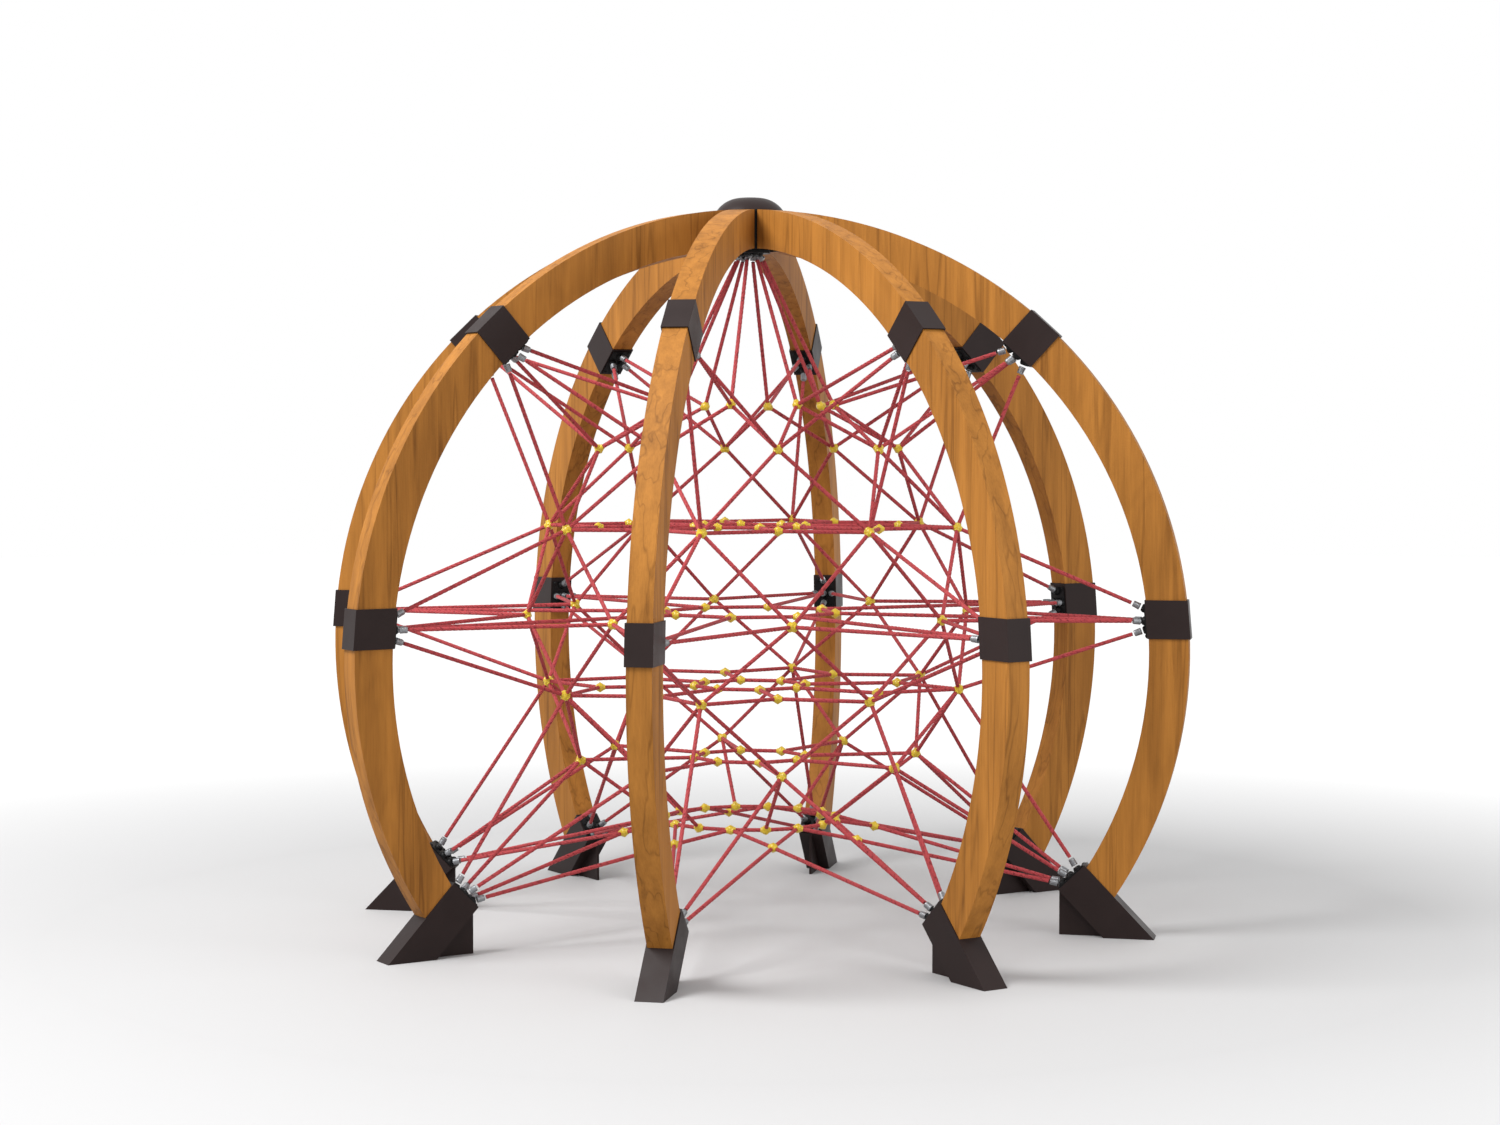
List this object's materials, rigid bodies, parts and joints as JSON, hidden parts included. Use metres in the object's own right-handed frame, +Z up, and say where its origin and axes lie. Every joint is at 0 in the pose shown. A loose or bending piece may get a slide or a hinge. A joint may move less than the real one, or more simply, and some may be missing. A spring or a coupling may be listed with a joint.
{
  "type": "dome climber",
  "caption": "Rope climbing dome: curved timber arches in steel shoes meet at a capped hub and hold a taut rope net with ball connectors.",
  "frame": {"origin": "on the ground, under the centre of the hub", "axes": "+Z up through the hub; arch_beam_1 stands towards -Y and the arches are numbered anticlockwise seen from above"},
  "size_m": [4.0168, 4.0168, 3.3268],
  "materials": {
    "timber": "oiled glued laminated timber, warm honey brown, satin",
    "brown_steel": "dark brown powder coat, satin",
    "black_steel": "black powder coat, satin",
    "ferrule": "pressed aluminium, dull",
    "rope": "red braided polyester over a steel core",
    "connector": "yellow moulded plastic",
    "fastener": "zinc plated"
  },
  "bodies": {
    "root": {"anchor_screws": "fastener", "arch_beam_1": "timber", "arch_beam_2": "timber", "arch_beam_3": "timber", "arch_beam_4": "timber", "arch_beam_5": "timber", "arch_beam_6": "timber", "arch_beam_7": "timber", "arch_beam_8": "timber", "dome_net_connectors": "connector", "dome_net_ropes": "rope", "floor_connectors": "connector", "floor_net_ropes": "rope", "foot_bolts": "fastener", "foot_rope_anchors": "black_steel", "foot_shoe_1": "brown_steel", "foot_shoe_2": "brown_steel", "foot_shoe_3": "brown_steel", "foot_shoe_4": "brown_steel", "foot_shoe_5": "brown_steel", "foot_shoe_6": "brown_steel", "foot_shoe_7": "brown_steel", "foot_shoe_8": "brown_steel", "foot_stay_ropes": "rope", "hub_bolts": "fastener", "hub_cap": "brown_steel", "hub_core": "black_steel", "hub_ferrules": "black_steel", "hub_rope_plate": "black_steel", "king_bolt": "fastener", "king_nut": "fastener", "lower_deck_connectors": "connector", "lower_deck_ropes": "rope", "middle_collar_1": "brown_steel", "middle_collar_2": "brown_steel", "middle_collar_3": "brown_steel", "middle_collar_4": "brown_steel", "middle_collar_5": "brown_steel", "middle_collar_6": "brown_steel", "middle_collar_7": "brown_steel", "middle_collar_8": "brown_steel", "middle_rope_anchors": "black_steel", "middle_stay_ropes": "rope", "skirt_connectors": "connector", "skirt_net_ropes": "rope", "stay_ferrules": "ferrule", "upper_collar_1": "brown_steel", "upper_collar_2": "brown_steel", "upper_collar_3": "brown_steel", "upper_collar_4": "brown_steel", "upper_collar_5": "brown_steel", "upper_collar_6": "brown_steel", "upper_collar_7": "brown_steel", "upper_collar_8": "brown_steel", "upper_deck_connectors": "connector", "upper_deck_ropes": "rope", "upper_rope_anchors": "black_steel", "upper_stay_ropes": "rope", "waist_connectors": "connector", "waist_net_ropes": "rope"}
  },
  "joints": []
}
